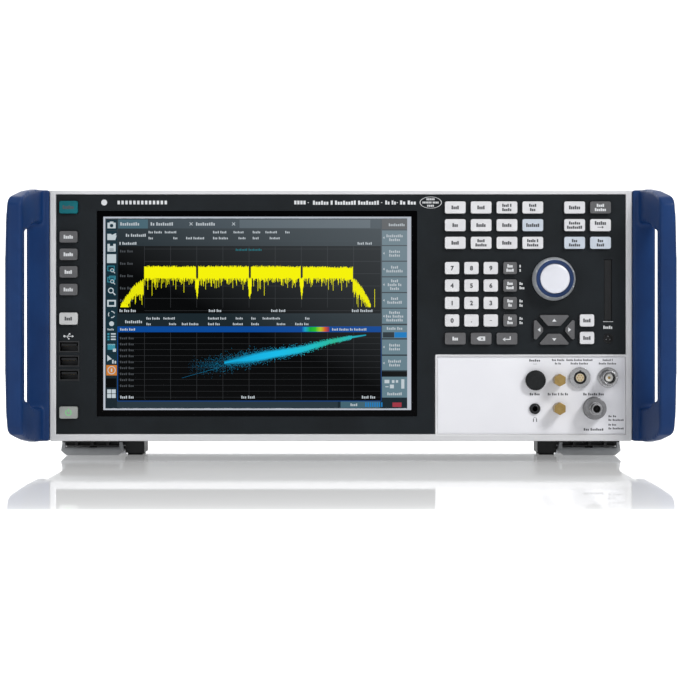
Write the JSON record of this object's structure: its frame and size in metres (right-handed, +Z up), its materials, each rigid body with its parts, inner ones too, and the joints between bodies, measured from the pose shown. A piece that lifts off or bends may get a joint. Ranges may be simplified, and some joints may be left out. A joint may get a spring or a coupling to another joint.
{
  "type": "bench spectrum analyzer",
  "caption": "Bench spectrum analyzer with a wide touch screen, key blocks, a rotary knob, coaxial sockets, side handles and folding front feet.",
  "frame": {"origin": "on the surface it stands on, under the middle of the instrument's overall box", "axes": "+Z up, +X to the right as seen by the person using it, +Y from the front panel towards the rear panel"},
  "size_m": [0.462, 0.417, 0.1915],
  "materials": {
    "silver_paint": "satin powder coat",
    "dark_panel": "fine textured paint",
    "light_panel": "satin paint",
    "screen_glass": "glossy, black printed border",
    "lcd_frame": "folded sheet",
    "silicone": "moulded",
    "board": "solder mask on glass fibre",
    "black_plastic": "moulded",
    "nickel": "plated, machined",
    "gold_plate": "gold plated",
    "blue_plastic": "fine texture moulding",
    "case_paint": "powder coat",
    "zinc_sheet": "zinc plated",
    "screw_steel": "black zinc",
    "aluminium_block": "milled",
    "foot_grey": "moulded",
    "foot_rubber": "moulded",
    "white_key": "moulded",
    "dark_key": "moulded",
    "teal_key": "moulded",
    "light_key": "moulded",
    "power_grey": "moulded",
    "knob_silver": "metallised"
  },
  "bodies": {
    "root": {"front_bezel": "silver_paint", "front_panel": "dark_panel", "connector_panel": "light_panel", "touch_glass": "screen_glass", "lcd_module": "lcd_frame", "key_mat": "silicone", "circuit_boards": "board", "slot_cover": "black_plastic", "usb_ports": "nickel", "probe_socket": "black_plastic", "control_bodies": "nickel", "headphone_jack": "black_plastic", "mixer_ports": "gold_plate", "sensor_socket": "nickel", "trigger_socket": "nickel", "rf_input": "nickel", "handle_left": "blue_plastic", "handle_right": "blue_plastic", "top_cover": "case_paint", "bottom_cover": "case_paint", "rear_panel": "case_paint", "chassis": "zinc_sheet", "case_screws": "screw_steel", "rear_feet": "blue_plastic", "front_feet": "black_plastic", "foot_pads": "foot_rubber", "hinge_pins": "nickel", "power_supply": "zinc_sheet", "rf_module": "aluminium_block", "fan_frame": "black_plastic", "mains_inlet": "black_plastic", "rear_sockets": "nickel"},
    "tilt_foot_left": {"tilt_foot_left": "foot_grey"},
    "tilt_foot_right": {"tilt_foot_right": "foot_grey"},
    "fan_rotor": {"fan_rotor": "black_plastic"},
    "mains_rocker": {"mains_rocker": "black_plastic"},
    "knob_push": {"shaft_collar": "gold_plate"},
    "knob_turn": {"knob_shaft": "nickel", "main_knob": "knob_silver"},
    "volume_knob": {"volume_knob": "black_plastic"},
    "preset_key": {"preset_key": "teal_key"},
    "setup_key": {"setup_key": "dark_key"},
    "print_key": {"print_key": "dark_key"},
    "file_key": {"file_key": "dark_key"},
    "tools_key": {"tools_key": "dark_key"},
    "mode_key": {"mode_key": "light_key"},
    "power_key": {"power_key": "power_grey"},
    "up_key": {"up_key": "dark_key"},
    "down_key": {"down_key": "dark_key"},
    "left_key": {"left_key": "dark_key"},
    "right_key": {"right_key": "dark_key"},
    "undo_key": {"undo_key": "white_key"},
    "redo_key": {"redo_key": "white_key"},
    "function_keys_1": {"function_keys_1": "white_key"},
    "function_keys_2": {"function_keys_2": "white_key"},
    "function_keys_3": {"function_keys_3": "white_key"},
    "number_keys_1": {"number_keys_1": "white_key"},
    "number_keys_2": {"number_keys_2": "white_key"},
    "number_keys_3": {"number_keys_3": "white_key"},
    "number_keys_4": {"number_keys_4": "white_key"}
  },
  "joints": [
    {"name": "tilt_left", "type": "hinge", "parent": "root", "child": "tilt_foot_left", "pos_m": [-0.1815, -0.0895, 0.0034], "axis": [-1, 0, 0], "range_deg": [0, 100]},
    {"name": "tilt_right", "type": "hinge", "parent": "root", "child": "tilt_foot_right", "pos_m": [0.1815, -0.0895, 0.0034], "axis": [-1, 0, 0], "range_deg": [0, 100]},
    {"name": "fan_spin", "type": "hinge", "parent": "root", "child": "fan_rotor", "pos_m": [0.11, 0.1735, 0.115], "axis": [0, 1, 0], "continuous": true},
    {"name": "mains_switch", "type": "hinge", "parent": "root", "child": "mains_rocker", "pos_m": [-0.158, 0.1835, 0.079], "axis": [0, 0, 1], "range_deg": [-16, 0]},
    {"name": "knob_push", "type": "slide", "parent": "root", "child": "knob_push", "axis": [0, 1, 0], "range_m": [0, 0.0005], "stiffness_N_per_m": 4000, "springref_m": -0.0005},
    {"name": "knob_turn", "type": "hinge", "parent": "knob_push", "child": "knob_turn", "pos_m": [0.1501, -0.1635, 0.1289], "axis": [0, 1, 0], "continuous": true},
    {"name": "volume_turn", "type": "hinge", "parent": "root", "child": "volume_knob", "pos_m": [0.1372, -0.1635, 0.0574], "axis": [0, 1, 0], "range_deg": [0, 280]},
    {"name": "preset_key_press", "type": "slide", "parent": "root", "child": "preset_key", "axis": [0, 1, 0], "range_m": [0, 0.0012], "stiffness_N_per_m": 800, "springref_m": -0.0006},
    {"name": "setup_key_press", "type": "slide", "parent": "root", "child": "setup_key", "axis": [0, 1, 0], "range_m": [0, 0.0012], "stiffness_N_per_m": 800, "springref_m": -0.0006},
    {"name": "print_key_press", "type": "slide", "parent": "root", "child": "print_key", "axis": [0, 1, 0], "range_m": [0, 0.0012], "stiffness_N_per_m": 800, "springref_m": -0.0006},
    {"name": "file_key_press", "type": "slide", "parent": "root", "child": "file_key", "axis": [0, 1, 0], "range_m": [0, 0.0012], "stiffness_N_per_m": 800, "springref_m": -0.0006},
    {"name": "tools_key_press", "type": "slide", "parent": "root", "child": "tools_key", "axis": [0, 1, 0], "range_m": [0, 0.0012], "stiffness_N_per_m": 800, "springref_m": -0.0006},
    {"name": "mode_key_press", "type": "slide", "parent": "root", "child": "mode_key", "axis": [0, 1, 0], "range_m": [0, 0.0012], "stiffness_N_per_m": 800, "springref_m": -0.0006},
    {"name": "power_key_press", "type": "slide", "parent": "root", "child": "power_key", "axis": [0, 1, 0], "range_m": [0, 0.0012], "stiffness_N_per_m": 800, "springref_m": -0.0006},
    {"name": "up_key_press", "type": "slide", "parent": "root", "child": "up_key", "axis": [0, 1, 0], "range_m": [0, 0.0012], "stiffness_N_per_m": 800, "springref_m": -0.0006},
    {"name": "down_key_press", "type": "slide", "parent": "root", "child": "down_key", "axis": [0, 1, 0], "range_m": [0, 0.0012], "stiffness_N_per_m": 800, "springref_m": -0.0006},
    {"name": "left_key_press", "type": "slide", "parent": "root", "child": "left_key", "axis": [0, 1, 0], "range_m": [0, 0.0012], "stiffness_N_per_m": 800, "springref_m": -0.0006},
    {"name": "right_key_press", "type": "slide", "parent": "root", "child": "right_key", "axis": [0, 1, 0], "range_m": [0, 0.0012], "stiffness_N_per_m": 800, "springref_m": -0.0006},
    {"name": "undo_key_press", "type": "slide", "parent": "root", "child": "undo_key", "axis": [0, 1, 0], "range_m": [0, 0.0012], "stiffness_N_per_m": 800, "springref_m": -0.0006},
    {"name": "redo_key_press", "type": "slide", "parent": "root", "child": "redo_key", "axis": [0, 1, 0], "range_m": [0, 0.0012], "stiffness_N_per_m": 800, "springref_m": -0.0006},
    {"name": "function_keys_1_press", "type": "slide", "parent": "root", "child": "function_keys_1", "axis": [0, 1, 0], "range_m": [0, 0.0012], "stiffness_N_per_m": 800, "springref_m": -0.0006},
    {"name": "function_keys_2_press", "type": "slide", "parent": "root", "child": "function_keys_2", "axis": [0, 1, 0], "range_m": [0, 0.0012], "stiffness_N_per_m": 800, "springref_m": -0.0006},
    {"name": "function_keys_3_press", "type": "slide", "parent": "root", "child": "function_keys_3", "axis": [0, 1, 0], "range_m": [0, 0.0012], "stiffness_N_per_m": 800, "springref_m": -0.0006},
    {"name": "number_keys_1_press", "type": "slide", "parent": "root", "child": "number_keys_1", "axis": [0, 1, 0], "range_m": [0, 0.0012], "stiffness_N_per_m": 800, "springref_m": -0.0006},
    {"name": "number_keys_2_press", "type": "slide", "parent": "root", "child": "number_keys_2", "axis": [0, 1, 0], "range_m": [0, 0.0012], "stiffness_N_per_m": 800, "springref_m": -0.0006},
    {"name": "number_keys_3_press", "type": "slide", "parent": "root", "child": "number_keys_3", "axis": [0, 1, 0], "range_m": [0, 0.0012], "stiffness_N_per_m": 800, "springref_m": -0.0006},
    {"name": "number_keys_4_press", "type": "slide", "parent": "root", "child": "number_keys_4", "axis": [0, 1, 0], "range_m": [0, 0.0012], "stiffness_N_per_m": 800, "springref_m": -0.0006}
  ]
}
